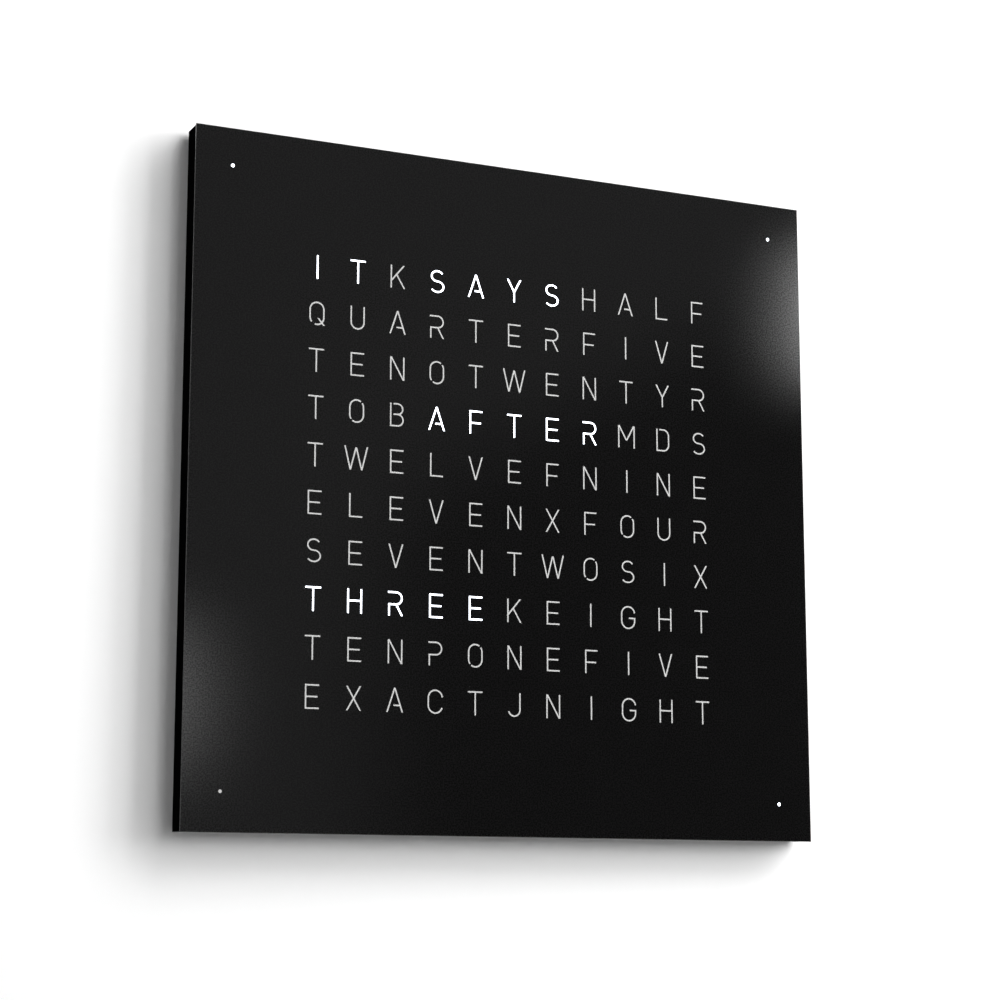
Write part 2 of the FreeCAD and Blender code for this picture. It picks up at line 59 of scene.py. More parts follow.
camera_data = bpy.data.cameras.new("camera")
camera_data.sensor_width = SENSOR_WIDTH
camera_data.lens = FOCAL_LENGTH
camera_data.clip_start = 0.05
camera_data.clip_end = 100.0
camera = bpy.data.objects.new("camera", camera_data)
scene.collection.objects.link(camera)
turn = Matrix.Rotation(CAMERA_YAW, 3, "Z") @ Matrix.Rotation(CAMERA_PITCH, 3, "X")
axes = Matrix((turn.col[0], turn.col[2], -turn.col[1])).transposed()
camera.matrix_world = Matrix.Translation(CAMERA_PLACE) @ axes.to_4x4()
scene.camera = camera


# --- Letter matrix: generic time words in a layout of their own. Millimetres ---

ROWS = ["ITKSAYSHALF",
        "QUARTERFIVE",
        "TENOTWENTYR",
        "TOBAFTERMDS",
        "TWELVEFNINE",
        "ELEVENXFOUR",
        "SEVENTWOSIX",
        "THREEKEIGHT",
        "TENPONEFIVE",
        "EXACTJNIGHT"]
LIT_RUNS = [(0, 0, 2), (0, 3, 7), (3, 3, 8), (7, 0, 5)]      # row, first column, column after the last
LIT = {(row, column) for row, first, end in LIT_RUNS for column in range(first, end)}
LINES = len(ROWS)
COLUMNS = len(ROWS[0])
PITCH_X = 28.2
PITCH_Z = 31.0
DOT_PLACE = 200.0            # of the four corner dots, from the middle of the face
DOT_RADIUS = 1.15
DOT_CELL = 13.4              # inside width of a corner dot's cup
LIT_DOTS = {(-1, 1), (1, 1), (1, -1)}
FIRST_BLOCK = -3             # the blocks outside of the matrix: edge, dot, gap, and then letter 0
DOT_LINES = (-2, LINES + 1)
DOT_COLUMNS = (-2, COLUMNS + 1)

CAP = 15.7                   # height of a letter
STROKE = 1.06                # width of a letter's strokes
TOP = CAP / 2
ARM = TOP - STROKE / 2       # middle line of a top arm
ARC_STEP = 11.0              # degrees between the points of a round stroke
BRIDGE = 1.85                # a stencil bridge beside a stem, from the stem's middle line


def arc(x, z, rx, rz, start, end):
    """Points of a round stroke's middle line."""
    steps = max(2, math.ceil(abs(end - start) / ARC_STEP))
    angles = [math.radians(start + (end - start) * k / steps) for k in range(steps + 1)]
    return [(x + rx * math.cos(a), z + rz * math.sin(a)) for a in angles]


def path(*parts):
    """Stroke along points, some of them given as lists from arc()."""
    points = []
    for part in parts:
        points += part if isinstance(part, list) else [part]
    return ("path", points)


def slant(x_top, z_top, x_bottom, z_bottom):
    """Straight stroke whose ends are cut level."""
    return ("slant", [(x_top, z_top), (x_bottom, z_bottom)])


def round_sides(right, r):
    """Upright right side with round corners, from the bottom arm to the top one."""
    return arc(right - r, -ARM + r, r, r, -90, 0) + arc(right - r, ARM - r, r, r, 0, 90)


def bowl(right, top, bottom):
    """Half-round bowl from its top arm to its bottom arm."""
    r = (top - bottom) / 2
    return arc(right - r, bottom + r, r, r, 90, -90)


def glyphs():
    """Strokes of each letter, with the middle of its cell at 0, 0."""
    g = {}
    g["I"] = [path((0, TOP), (0, -TOP))]
    g["E"] = [path((4.9, ARM), (-4.1, ARM), (-4.1, -ARM), (4.9, -ARM)), path((-4.1, 0), (3.9, 0))]
    g["F"] = [path((4.75, ARM), (-4.0, ARM), (-4.0, -TOP)), path((-4.0, -0.5), (3.7, -0.5))]
    g["L"] = [path((-4.0, TOP), (-4.0, -ARM), (4.75, -ARM))]
    g["T"] = [path((-5.25, ARM), (5.25, ARM)), path((0, ARM), (0, -TOP))]
    g["H"] = [path((-4.5, TOP), (-4.5, -TOP)), path((4.5, TOP), (4.5, -TOP)),
              path((-4.5, 0.3), (4.5, 0.3))]
    g["N"] = [path((-4.6, TOP), (-4.6, -TOP)), path((4.6, TOP), (4.6, -TOP)),
              slant(-4.45, TOP, 4.45, -TOP)]
    g["M"] = [path((-5.9, TOP), (-5.9, -TOP)), path((5.9, TOP), (5.9, -TOP)),
              slant(-5.75, TOP, 0, -2.6), slant(5.75, TOP, 0, -2.6)]
    g["V"] = [slant(-4.7, TOP, 0, -TOP), slant(4.7, TOP, 0, -TOP)]
    g["W"] = [slant(-7.8, TOP, -3.95, -TOP), slant(-0.1, 7.0, -3.95, -TOP),
              slant(0.1, 7.0, 3.95, -TOP), slant(7.8, TOP, 3.95, -TOP)]
    g["X"] = [slant(-4.6, TOP, 4.6, -TOP), slant(4.6, TOP, -4.6, -TOP)]
    g["Y"] = [slant(-4.7, TOP, 0, -0.9), slant(4.7, TOP, 0, -0.9), path((0, -0.2), (0, -TOP))]
    g["K"] = [path((-4.75, TOP), (-4.75, -TOP)), slant(4.2, TOP, -4.75, -3.0),
              slant(-1.0, 1.6, 4.6, -TOP)]
    g["A"] = [slant(0, TOP, -5.3, -TOP), slant(0, TOP, 5.3, -TOP), path((-0.9, -3.4), (3.7, -3.4))]
    g["U"] = [path((-4.5, TOP), arc(0, -ARM + 4.5, 4.5, 4.5, 180, 360), (4.5, TOP))]
    g["J"] = [path((3.9, TOP), arc(-0.2, -ARM + 4.1, 4.1, 4.1, 0, -165))]
    g["C"] = [path(arc(0, ARM - 4.9, 4.9, 4.9, 5, 180), arc(0, -ARM + 4.9, 4.9, 4.9, 180, 344))]
    g["G"] = [path((0.5, -0.5), (4.9, -0.5), arc(0, -ARM + 4.9, 4.9, 4.9, 0, -180),
                   arc(0, ARM - 4.9, 4.9, 4.9, 180, 8))]
    g["O"] = [path(arc(0, -ARM + 4.75, 4.75, 4.75, 218, 180), arc(0, ARM - 4.75, 4.75, 4.75, 180, 52)),
              path(arc(0, ARM - 4.75, 4.75, 4.75, 38, 0), arc(0, -ARM + 4.75, 4.75, 4.75, 0, -128))]
    g["Q"] = [path(arc(0, -ARM + 4.75, 4.75, 4.75, 222, 180), arc(0, ARM - 4.75, 4.75, 4.75, 180, 0),
                   arc(0, -ARM + 4.75, 4.75, 4.75, 0, -108)), slant(0.9, -3.0, 5.0, -TOP)]
    g["D"] = [path((-4.5, TOP), (-4.5, -ARM), round_sides(4.5, 4.2), (-4.5 + BRIDGE, ARM))]
    g["B"] = [path((-4.35, TOP), (-4.35, -ARM), bowl(4.35, 0.35, -ARM)[::-1], (-4.35 + BRIDGE, 0.35)),
              path((-4.35 + BRIDGE, ARM), bowl(4.05, ARM, 0.35))]
    g["P"] = [path((-5.1, ARM), bowl(4.25, ARM, -0.7), (-4.35, -0.7), (-4.35, -TOP))]
    g["R"] = [path((-5.2, ARM), bowl(4.4, ARM, -0.5), (-4.45, -0.5), (-4.45, -TOP)),
              slant(0.5, -0.5, 4.55, -TOP)]
    g["S"] = [path(arc(0.1, 3.6, 4.15, 3.55, 32, 248), arc(0, -3.5, 4.5, 3.65, 68, -148))]
    return g


def thick(points, width, trim):
    """Outline of a stroke with mitred corners. trim shortens both ends."""
    middle = [Vector(p) for p in points]
    middle[0] += (middle[1] - middle[0]).normalized() * trim
    middle[-1] += (middle[-2] - middle[-1]).normalized() * trim
    left, right = [], []
    for k, point in enumerate(middle):
        after = (middle[min(k + 1, len(middle) - 1)] - middle[min(k, len(middle) - 2)]).normalized()
        before = (middle[max(k, 1)] - middle[max(k - 1, 0)]).normalized()
        along = (before + after).normalized()
        across = Vector((-along.y, along.x)) * (width / 2 / along.dot(after))
        left.append(point + across)
        right.append(point - across)
    return left + right[::-1]


def level_cut(points, width, trim):
    """Outline of a straight stroke whose ends are cut level."""
    (x_top, z_top), (x_bottom, z_bottom) = points
    fall = z_top - z_bottom
    lean = (x_bottom - x_top) / fall
    half = width / 2 * math.hypot(1, lean)
    high, low = z_top - trim, z_bottom + trim
    x_high, x_low = x_top + lean * trim, x_bottom - lean * trim
    return [Vector(p) for p in ((x_high - half, high), (x_low - half, low),
                                (x_low + half, low), (x_high + half, high))]


def outlines(strokes, width, trim, x, z):
    """Outlines of a letter's strokes, moved to its place."""
    shapes = []
    for kind, points in strokes:
        outline = (thick if kind == "path" else level_cut)(points, width, trim)
        shapes.append([p + Vector((x, z)) for p in outline])
    return shapes


def disc(x, z, radius, count=36):
    """Round outline."""
    angles = [math.tau * k / count for k in range(count)]
    return [Vector((x + radius * math.cos(a), z + radius * math.sin(a))) for a in angles]


def counter_clockwise(outline):
    """The outline, turned round if it runs clockwise."""
    area = sum(a.x * b.y - b.x * a.y for a, b in zip(outline, outline[1:] + outline[:1]))
    return outline if area > 0 else outline[::-1]


ON_EDGE = 1e-4               # a point this near to a plate's outline lies on it


class Tiles:
    """Triangles of a flat plate, each outside or inside of the shapes cut into it."""

    def __init__(self):
        self.points = []
        self.index = {}
        self.faces = []          # (corner indices, inside, tag)
        self.edge = set()        # indices of the points on the plate's outline

    def point(self, x, z):
        """Index of a point; one that is already there is used again."""
        key = (round(x, 4), round(z, 4))
        if key not in self.index:
            self.index[key] = len(self.points)
            self.points.append((x, z))
        return self.index[key]

    def add(self, outline, cuts, tag=None):
        """Triangulate an outline with shapes in it, which may overlap one another."""
        shapes = [counter_clockwise(s) for s in [outline] + cuts]
        flat = [p for s in shapes for p in s]
        faces, start = [], 0
        for s in shapes:
            faces.append(list(range(start, start + len(s))))
            start += len(s)
        found, _, triangles, _, _, sources = delaunay_2d_cdt(flat, [], faces, 1, 1e-6)
        for triangle, source in zip(triangles, sources):
            if 0 in source:
                corners = [self.point(*found[k]) for k in triangle]
                if len(set(corners)) == 3:
                    self.faces.append((corners, len(source) > 1, tag))


def square_plate(half, stroke, trim, dot_radius):
    """Plate of the clock's face: one block per letter, one per corner dot, plain blocks between."""
    tiles = Tiles()
    letters = glyphs()
    cuts_at = [side * (DOT_PLACE + end * DOT_CELL / 2) for side in (-1, 1) for end in (-1, 1)]
    cuts_at += [-half, half]
    xs = sorted(cuts_at + [PITCH_X * (k - COLUMNS / 2) for k in range(COLUMNS + 1)])
    zs = sorted(cuts_at + [PITCH_Z * (k - LINES / 2) for k in range(LINES + 1)], reverse=True)
    for row, (z1, z0) in enumerate(zip(zs, zs[1:]), FIRST_BLOCK):
        for column, (x0, x1) in enumerate(zip(xs, xs[1:]), FIRST_BLOCK):
            outline = [Vector(p) for p in ((x0, z0), (x1, z0), (x1, z1), (x0, z1))]
            cuts, tag = [], None
            if 0 <= row < LINES and 0 <= column < COLUMNS:
                strokes = letters[ROWS[row][column]]
                cuts = outlines(strokes, stroke, trim, (x0 + x1) / 2, (z0 + z1) / 2)
                tag = (row, column) in LIT
            elif row in DOT_LINES and column in DOT_COLUMNS:
                side, rise = (-1 if column < 0 else 1), (1 if row < 0 else -1)
                cuts = [disc(side * DOT_PLACE, rise * DOT_PLACE, dot_radius)]
                tag = (side, rise) in LIT_DOTS
            tiles.add(outline, cuts, tag)
    tiles.edge = {k for k, (x, z) in enumerate(tiles.points) if max(abs(x), abs(z)) > half - ON_EDGE}
    return tiles


def grow_square(half):
    """Moves a point of a square outline outwards."""
    def grow(point, by):
        return tuple(math.copysign(half + by, c) if abs(c) > half - ON_EDGE else c for c in point)
    return grow


def grow_round(x, z, radius):
    """Moves a point of a round outline outwards."""
    def grow(point, by):
        share = (radius + by) / radius
        return (x + (point[0] - x) * share, z + (point[1] - z) * share)
    return grow


def build_plate(bm, tiles, front, back, rim, grow, inner=None, pierced=False, slots=(0, 0, 0)):
    """Plate with its rim. The cut shapes go through it, or lie level at the depth inner.

    rim lists (growth, depth) steps from the front outline to the back one.
    slots are the material slots of the plate, of a lit block's front and of a lit shape.
    """
    made = {}

    def vertex(key, x, y, z):
        if key not in made:
            made[key] = bm.verts.new((x * MM, y * MM, z * MM))
        return made[key]

    def flat(k, depth, level):
        return vertex((k, level), tiles.points[k][0], depth, tiles.points[k][1])

    def stepped(k, step):
        growth, depth = rim[step]
        x, z = grow(tiles.points[k], growth)
        return vertex((k, "rim", step), x, depth, z)

    def face(corners, slot=0):
        bm.faces.new(corners).material_index = slot

    def rim_chain(k):
        """Points from the front outline over the rim's steps to the back."""
        last = len(rim) - 1
        end = flat(k, back, "back") if pierced else stepped(k, last)
        return [flat(k, front, "front")] + [stepped(k, s) for s in range(last)] + [end]

    open_edges = {}
    for corners, inside, tag in tiles.faces:
        if not inside:
            for a, b in zip(corners, corners[1:] + corners[:1]):
                open_edges[(a, b)] = tag
    for corners, inside, tag in tiles.faces:
        if inside:
            if not pierced:
                face([flat(k, inner, "inner") for k in corners], slots[2] if tag else slots[0])
            continue
        face([flat(k, front, "front") for k in corners], slots[1] if tag else slots[0])
        if pierced:
            face([flat(k, back, "back") for k in reversed(corners)])
    outline = {}
    for (a, b), tag in open_edges.items():
        if (b, a) in open_edges:
            continue
        if a in tiles.edge and b in tiles.edge:
            outline[a] = b
            chain_a, chain_b = rim_chain(a), rim_chain(b)
            for s in range(len(rim)):
                face([chain_b[s], chain_a[s], chain_a[s + 1], chain_b[s + 1]])
        else:
            depth, level = (back, "back") if pierced else (inner, "inner")
            face([flat(b, front, "front"), flat(a, front, "front"), flat(a, depth, level),
                  flat(b, depth, level)], slots[2] if tag else slots[0])
    if not pierced:
        start = next(iter(outline))
        loop, k = [start], outline[start]
        while k != start:
            loop.append(k)
            k = outline[k]
        face([stepped(k, len(rim) - 1) for k in loop])


def finish_mesh(name, bm, materials):
    """Object from a bmesh, with normals that point out."""
    bmesh.ops.recalc_face_normals(bm, faces=bm.faces)
    mesh = bpy.data.meshes.new(name)
    bm.to_mesh(mesh)
    bm.free()
    for m in materials:
        mesh.materials.append(m)
    piece = bpy.data.objects.new(name, mesh)
    scene.collection.objects.link(piece)
    return piece


# --- Materials ---

def socket(tree, target, value):
    """Link a socket or set a plain value."""
    if isinstance(value, bpy.types.NodeSocket):
        tree.links.new(value, target)
    else:
        target.default_value = value


def calc(tree, operation, a, b=0.0):
    """Math node; returns its output."""
    node = tree.nodes.new("ShaderNodeMath")
    node.operation = operation
    socket(tree, node.inputs[0], a)
    socket(tree, node.inputs[1], b)
    return node.outputs[0]


def hypotenuse(tree, a, b):
    """Square root of the sum of two squares."""
    return calc(tree, "SQRT", calc(tree, "ADD", calc(tree, "POWER", a, 2.0), calc(tree, "POWER", b, 2.0)))


def noise(tree, coordinates, scale, detail=2.0, rough=0.5):
    """Noise between 0 and 1."""
    node = tree.nodes.new("ShaderNodeTexNoise")
    node.inputs["Scale"].default_value = scale
    node.inputs["Detail"].default_value = detail
    node.inputs["Roughness"].default_value = rough
    tree.links.new(coordinates, node.inputs["Vector"])
    return node.outputs["Fac"]


def remap(tree, value, low, high, to_low, to_high):
    """Linear map with clamped ends."""
    node = tree.nodes.new("ShaderNodeMapRange")
    for k, v in enumerate((value, low, high, to_low, to_high)):
        socket(tree, node.inputs[k], v)
    return node.outputs[0]


MIX_SHARE, MIX_FIRST, MIX_SECOND, MIX_COLOR = 0, 6, 7, 2     # the Mix node's sockets for colours


def blend_colors(tree, share, first, second):
    """Mix of two colours."""
    node = tree.nodes.new("ShaderNodeMix")
    node.data_type = "RGBA"
    socket(tree, node.inputs[MIX_SHARE], share)
    socket(tree, node.inputs[MIX_FIRST], first)
    socket(tree, node.inputs[MIX_SECOND], second)
    return node.outputs[MIX_COLOR]


def shade(color, factor):
    """The colour made lighter or darker, as RGBA."""
    return (*(min(1.0, c * factor) for c in color), 1.0)


NOISE_SPAN = (0.3, 0.7)      # nearly all of the noise lies between these
SMUDGE_FINENESS = 2.7        # of the roughness pattern, against the tone's


def relief(tree, height, depth):
    """Bump node for a height between 0 and 1; depth is in millimetres."""
    bump = tree.nodes.new("ShaderNodeBump")
    bump.inputs["Strength"].default_value = 1.0
    bump.inputs["Distance"].default_value = depth * MM
    tree.links.new(height, bump.inputs["Height"])
    return bump


def surface(name, color, rough, metal=0.0, specular=0.5, tone=0.12, tone_scale=60.0, rough_play=0.06,
            grain=900.0, grain_height=0.02, stretch=(1, 1, 1), coat=0.0, coat_rough=0.12, glow=None):
    """Principled material with tone, roughness and fine relief that vary over the surface.

    tone_scale and grain are in cells per metre and grain_height is in millimetres. A factor of stretch
    under 1 draws the pattern out along its axis. glow is a strength and a colour.
    """
    m = bpy.data.materials.new(name)
    m.use_nodes = True
    tree = m.node_tree
    shader = tree.nodes["Principled BSDF"]
    coordinates = tree.nodes.new("ShaderNodeTexCoord").outputs["Object"]
    drawn = tree.nodes.new("ShaderNodeMapping")
    drawn.inputs["Scale"].default_value = stretch
    tree.links.new(coordinates, drawn.inputs["Vector"])
    place = drawn.outputs["Vector"]
    broad = remap(tree, noise(tree, place, tone_scale, detail=4.0, rough=0.55), *NOISE_SPAN, 0.0, 1.0)
    mixed = blend_colors(tree, broad, shade(color, 1 - tone), shade(color, 1 + tone))
    tree.links.new(mixed, shader.inputs["Base Color"])
    smudge = noise(tree, place, tone_scale * SMUDGE_FINENESS, detail=3.0, rough=0.6)
    tree.links.new(remap(tree, smudge, *NOISE_SPAN, rough - rough_play, rough + rough_play),
                   shader.inputs["Roughness"])
    bump = relief(tree, noise(tree, place, grain, rough=0.6), grain_height)
    bump.name = "relief"
    tree.links.new(bump.outputs["Normal"], shader.inputs["Normal"])
    shader.inputs["Metallic"].default_value = metal
    shader.inputs["Specular IOR Level"].default_value = specular
    if coat:
        shader.inputs["Coat Weight"].default_value = coat
        shader.inputs["Coat Roughness"].default_value = coat_rough
    if glow:
        strength, tint = glow
        shader.inputs["Emission Color"].default_value = (*tint, 1.0)
        shader.inputs["Emission Strength"].default_value = strength
    return m


def place_in_millimetres(tree):
    """Object coordinates as x, y and z outputs in millimetres."""
    scaled = tree.nodes.new("ShaderNodeVectorMath")
    scaled.operation = "SCALE"
    scaled.inputs["Scale"].default_value = 1 / MM
    tree.links.new(tree.nodes.new("ShaderNodeTexCoord").outputs["Object"], scaled.inputs[0])
    split = tree.nodes.new("ShaderNodeSeparateXYZ")
    tree.links.new(scaled.outputs[0], split.inputs[0])
    return split.outputs


def from_middle(tree, value, pitch, shift=0.0):
    """Distance to the middle of the nearest cell along one axis."""
    moved = calc(tree, "ADD", value, shift)
    middle = calc(tree, "SNAP", calc(tree, "ADD", moved, pitch / 2), pitch)
    return calc(tree, "ABSOLUTE", calc(tree, "SUBTRACT", moved, middle))


def tint(m, share, color):
    """Lay a second colour over the material where share is 1."""
    tree = m.node_tree
    base = tree.nodes["Principled BSDF"].inputs["Base Color"]
    below = base.links[0].from_socket
    tree.links.new(blend_colors(tree, share, below, (*color, 1.0)), base)


def emboss(m, height, depth):
    """Add a second relief, depth in millimetres, under the material's grain."""
    tree = m.node_tree
    tree.links.new(relief(tree, height, depth).outputs["Normal"], tree.nodes["relief"].inputs["Normal"])


PAINT_GRAIN = 1000.0         # cells per metre
GRAIN_SPAN = (0.39, 0.61)    # of the noise that the grain uses
GRAIN_SHINE = (0.25, 0.95)   # specular level of the rough lobe
GRAIN_COAT = (1.0, 0.1)      # weight of the coat


def make_paint():
    """Powder coat with a rough, grainy lobe and a smoother coat.

    The coat is thin where the grain shines, so that an even reflection stays even and only the small
    highlights show the grain.
    """
    m = surface("cover_powder_coat", (0.0044, 0.0043, 0.0044), 0.28, tone=0.06, rough_play=0.004,
                grain=PAINT_GRAIN, grain_height=0.03, specular=sum(GRAIN_SHINE) / 2,
                coat=sum(GRAIN_COAT) / 2, coat_rough=0.135)
    tree = m.node_tree
    shader = tree.nodes["Principled BSDF"]
    grain = noise(tree, tree.nodes["Mapping"].outputs["Vector"], PAINT_GRAIN, detail=1.0)
    tree.links.new(remap(tree, grain, *GRAIN_SPAN, *GRAIN_SHINE), shader.inputs["Specular IOR Level"])
    tree.links.new(remap(tree, grain, *GRAIN_SPAN, *GRAIN_COAT), shader.inputs["Coat Weight"])
    shader.inputs["Coat IOR"].default_value = 1.65
    return m


# The housing's left side gets painted shade: a deeper black than the rest, and no gloss.
PAINTED_SHADE_SIDE = (-224.3, -223.6)   # the left side ends and the rest of the frame begins, along x
HOUSING_BLACK = (0.011, 0.011, 0.0115)
HOUSING_SHINE = 0.3


def make_housing():
    """Black moulding whose left side, which lies in the shade, is painted a deeper black without gloss than
    the rest: painted shade.
    """
    # Its base colour is the left side's painted shade; HOUSING_BLACK, the moulding's own black, is laid over
    # the rest.
    m = surface("housing_black_moulding", (0.0012, 0.0012, 0.0013), 0.6, specular=HOUSING_SHINE, tone=0.2,
                rough_play=0.05, grain=2600.0, grain_height=0.02)
    tree = m.node_tree
    x, _, _ = place_in_millimetres(tree)
    lit = remap(tree, x, *PAINTED_SHADE_SIDE, 0.0, 1.0)
    tint(m, lit, HOUSING_BLACK)
    # The painted shade also takes the gloss off the left side.
    tree.links.new(calc(tree, "MULTIPLY", lit, HOUSING_SHINE),
                   tree.nodes["Principled BSDF"].inputs["Specular IOR Level"])
    return m


PAINT = make_paint()
HOUSING = make_housing()
PANEL = surface("panel_black_moulding", (0.013, 0.013, 0.014), 0.5, specular=0.35, tone=0.14,
                grain=2200.0, grain_height=0.03)
ZINC = surface("zinc_plated_steel", (0.44, 0.44, 0.43), 0.47, metal=1.0, tone=0.06, tone_scale=220.0,
               grain=1400.0, grain_height=0.0016, stretch=(1, 1, 0.35))
BRIGHT_STEEL = surface("bright_steel", (0.60, 0.60, 0.60), 0.22, metal=1.0, tone=0.06, tone_scale=300.0,
                       grain=2400.0, grain_height=0.002, stretch=(1, 0.2, 1))
BLACK_ZINC = surface("black_zinc_screws", (0.035, 0.035, 0.038), 0.34, metal=1.0, tone=0.25,
                     tone_scale=400.0, grain=3000.0, grain_height=0.004)
NICKEL = surface("nickel_plated_magnets", (0.70, 0.68, 0.64), 0.2, metal=1.0, tone=0.08, tone_scale=200.0,
                 rough_play=0.08, grain=1500.0, grain_height=0.002)
RUBBER = surface("grey_rubber", (0.055, 0.055, 0.054), 0.8, specular=0.3, tone=0.12, tone_scale=220.0,
                 grain=3200.0, grain_height=0.04)
WHITE_MOULDING = surface("white_moulding", (0.74, 0.74, 0.72), 0.42, specular=0.4, tone=0.03, tone_scale=40.0,
                         grain=1800.0, grain_height=0.012)
BOARD = surface("white_solder_mask", (0.78, 0.79, 0.77), 0.25, specular=0.5, tone=0.03, tone_scale=90.0,
                grain=5200.0, grain_height=0.006, coat=0.3)
CHIP = surface("black_moulding_compound", (0.022, 0.022, 0.023), 0.55, specular=0.4, tone=0.2,
               tone_scale=500.0, grain=6000.0, grain_height=0.008)
CAN = surface("satin_aluminium_can", (0.68, 0.68, 0.70), 0.28, metal=1.0, tone=0.06, tone_scale=250.0,
              grain=2500.0, grain_height=0.004, stretch=(1, 0.15, 1))
BUTTON = surface("dark_grey_buttons", (0.10, 0.10, 0.105), 0.38, specular=0.45, tone=0.08, tone_scale=300.0,
                 grain=4000.0, grain_height=0.012)
CONTACT = surface("plated_contact", (0.78, 0.60, 0.28), 0.2, metal=1.0, tone=0.08, tone_scale=400.0,
                  grain=4000.0, grain_height=0.002, stretch=(1, 0.2, 1))
RIBBON = surface("flat_lead", (0.55, 0.55, 0.53), 0.35, specular=0.45, tone=0.05, tone_scale=150.0,
                 grain=3000.0, grain_height=0.006)
LAMP_FINISH = dict(specular=0.5, tone=0.03, tone_scale=400.0, grain=4000.0, grain_height=0.004)
PACKAGE = surface("lamp_package", (0.82, 0.81, 0.76), 0.3, **LAMP_FINISH)
CORNER_PACKAGE = surface("corner_lamp_package", (0.82, 0.81, 0.76), 0.3, **LAMP_FINISH)
OPAL_GRAIN = dict(grain=1800.0, grain_height=0.003)
OPAL = surface("opal_acrylic", (0.55, 0.55, 0.545), 0.5, specular=0.25, tone=0.012, **OPAL_GRAIN)
# The lit cells and letters of the sheet glow with painted light that stands for the lamps behind it.
OPAL_PAINTED_GLOW_CELL = surface("opal_acrylic_painted_backlight_cell", (0.62, 0.63, 0.64), 0.5, specular=0.25, tone=0.01,
                    glow=(0.9, (0.86, 0.91, 1.0)), **OPAL_GRAIN)
OPAL_PAINTED_GLOW_LETTER = surface("opal_acrylic_painted_backlight_letter", (0.62, 0.62, 0.62), 0.5, specular=0.2, tone=0.01,
                      glow=(5.0, (0.84, 0.89, 1.0)), **OPAL_GRAIN)

TRACK_PITCH = 1.27
TRACK_EDGE = (0.12, 0.2)     # from a track's middle line to where it ends
TRACK_REGIONS = 55.0         # cells per metre
TRACK_SHARES = (0.44, 0.56)  # the noise under the first has upright tracks, and over the second level ones
TRACK_TINT = (0.60, 0.62, 0.55)
TRACK_STRENGTH = 0.35
TRACK_HEIGHT = 0.035
HOLE_PITCH = 7.62
PAD_RADIUS = 0.45
HOLE_RADIUS = 0.2
PAD_TINT = (0.80, 0.66, 0.36)
# Each hole is a dark disc of painted shade.
HOLE_SHADE_TINT = (0.03, 0.03, 0.03)


def mark_tracks():
    """Copper tracks and plated holes on the boards; the holes are dark discs of painted shade, not openings.
    """
    tree = BOARD.node_tree
    x, _, z = place_in_millimetres(tree)
    upright = remap(tree, from_middle(tree, x, TRACK_PITCH), *TRACK_EDGE, 1.0, 0.0)
    level = remap(tree, from_middle(tree, z, TRACK_PITCH), *TRACK_EDGE, 1.0, 0.0)
    coordinates = tree.nodes.new("ShaderNodeTexCoord").outputs["Object"]
    region = noise(tree, coordinates, TRACK_REGIONS, detail=1.0)
    upright = calc(tree, "MULTIPLY", upright, calc(tree, "LESS_THAN", region, TRACK_SHARES[0]))
    level = calc(tree, "MULTIPLY", level, calc(tree, "GREATER_THAN", region, TRACK_SHARES[1]))
    tracks = calc(tree, "MAXIMUM", level, upright)
    tint(BOARD, calc(tree, "MULTIPLY", tracks, TRACK_STRENGTH), TRACK_TINT)
    emboss(BOARD, tracks, TRACK_HEIGHT)
    away = hypotenuse(tree, from_middle(tree, x, HOLE_PITCH), from_middle(tree, z, HOLE_PITCH))
    tint(BOARD, calc(tree, "LESS_THAN", away, PAD_RADIUS), PAD_TINT)
    tint(BOARD, calc(tree, "LESS_THAN", away, HOLE_RADIUS), HOLE_SHADE_TINT)


LAMP_WINDOW = 1.75           # radius
LAMP_RIM = 0.1               # width over which the window's colour ends, and half of its step
LAMP_FRONT = -9.5            # the window lies in front of this level
LAMP_TINT = (0.86, 0.70, 0.16)
LAMP_SINK = 0.08


def mark_lamps(m, pitch_x, pitch_z, shift_x, shift_z):
    """Yellow window in the middle of each lamp."""
    tree = m.node_tree
    x, y, z = place_in_millimetres(tree)
    away = hypotenuse(tree, from_middle(tree, x, pitch_x, shift_x), from_middle(tree, z, pitch_z, shift_z))
    window = calc(tree, "MULTIPLY", remap(tree, away, LAMP_WINDOW, LAMP_WINDOW + LAMP_RIM, 1.0, 0.0),
                  calc(tree, "LESS_THAN", y, LAMP_FRONT))
    tint(m, window, LAMP_TINT)
    emboss(m, remap(tree, away, LAMP_WINDOW, LAMP_WINDOW + 2 * LAMP_RIM, 0.0, 1.0), LAMP_SINK)


STRAND_PITCH = 1.25
STRAND_HEIGHT = 0.16
STRAND_SIDE = (0.35, 0.62)   # a strand falls off between these distances from its middle
# The grooves between the strands get painted shade.
GROOVE = (0.5, 0.6)          # and the groove beside it grows darker between these
GROOVE_SHADE_STRENGTH = 0.5
GROOVE_SHADE_TINT = (0.25, 0.25, 0.24)
FIRST_STRAND = -43.75        # the marked strand lies to the left of this
FIRST_STRAND_TINT = (0.30, 0.05, 0.04)


def mark_ribbon():
    """Ribs of the flat lead's strands, painted shade in the grooves between them, and the marked strand at
    its edge.
    """
    tree = RIBBON.node_tree
    x, _, _ = place_in_millimetres(tree)
    off = from_middle(tree, x, STRAND_PITCH, STRAND_PITCH / 2)
    emboss(RIBBON, remap(tree, off, *STRAND_SIDE, 1.0, 0.0), STRAND_HEIGHT)
    tint(RIBBON, remap(tree, off, *GROOVE, 0.0, GROOVE_SHADE_STRENGTH), GROOVE_SHADE_TINT)
    tint(RIBBON, calc(tree, "LESS_THAN", x, FIRST_STRAND), FIRST_STRAND_TINT)


